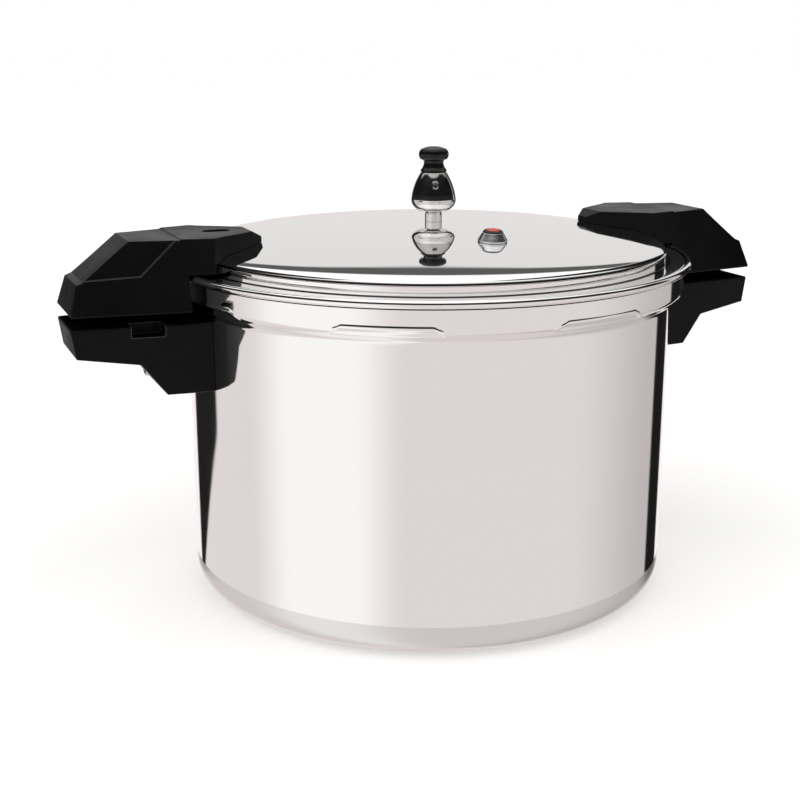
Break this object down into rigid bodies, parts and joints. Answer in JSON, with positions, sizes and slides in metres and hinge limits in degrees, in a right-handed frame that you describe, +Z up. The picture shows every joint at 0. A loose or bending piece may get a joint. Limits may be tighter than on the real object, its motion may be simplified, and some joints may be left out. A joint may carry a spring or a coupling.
{
  "type": "pressure canner",
  "caption": "Tall stovetop pressure canner: straight-sided aluminium pot, shallow domed lid with angular black handles, a pear-shaped weight on its vent pipe and a safety plug.",
  "frame": {"origin": "centre of the pot's base, on the surface it stands on", "axes": "+Z up, X along the line through the two pairs of handles, -Y the side with the safety plug"},
  "size_m": [0.4568, 0.3266, 0.274],
  "materials": {
    "polished_aluminium": "polished",
    "plain_aluminium": "satin",
    "black_plastic": "satin",
    "steel": "satin",
    "bright_metal": "polished",
    "gloss_black": "gloss",
    "black_rubber": "matt",
    "red_plastic": "gloss"
  },
  "bodies": {
    "pot": {"pot_body": "polished_aluminium", "pot_handle_right": "black_plastic", "pot_handle_left": "black_plastic", "pot_bracket_right": "steel", "pot_bracket_left": "steel", "pot_rivets": "steel", "pot_handle_screws": "steel"},
    "rack": {"canning_rack": "plain_aluminium"},
    "lid_seal": {"gasket": "black_rubber"},
    "lid": {"lid_shell": "polished_aluminium", "lid_handle_right": "black_plastic", "lid_handle_left": "black_plastic", "lid_handle_screws": "steel", "lock_seal": "black_rubber", "vent_pipe": "steel", "vent_nut": "steel", "safety_housing": "bright_metal", "safety_seal": "black_rubber", "safety_nut": "steel"},
    "weight": {"weight_body": "bright_metal", "weight_knob": "gloss_black", "weight_stud": "steel"},
    "lock": {"lock_pin": "steel"},
    "relief": {"safety_pin": "red_plastic"}
  },
  "joints": [
    {"name": "lid_lift", "type": "slide", "parent": "pot", "child": "lid_seal", "axis": [0, 0, 1], "range_m": [0, 0.15]},
    {"name": "lid_turn", "type": "hinge", "parent": "lid_seal", "child": "lid", "pos_m": [0, 0, 0.2], "axis": [0, 0, 1], "range_deg": [0, 22.5]},
    {"name": "weight_lift", "type": "slide", "parent": "lid", "child": "weight", "axis": [0, 0, 1], "range_m": [0, 0.045]},
    {"name": "lock_rise", "type": "slide", "parent": "lid", "child": "lock", "axis": [0, 0, 1], "range_m": [0, 0.002]},
    {"name": "relief_rise", "type": "slide", "parent": "lid", "child": "relief", "axis": [0.0084, -0.0768, 0.997], "range_m": [0, 0.003]},
    {"name": "rack_lift", "type": "slide", "parent": "pot", "child": "rack", "axis": [0, 0, 1], "range_m": [0, 0.12]}
  ]
}
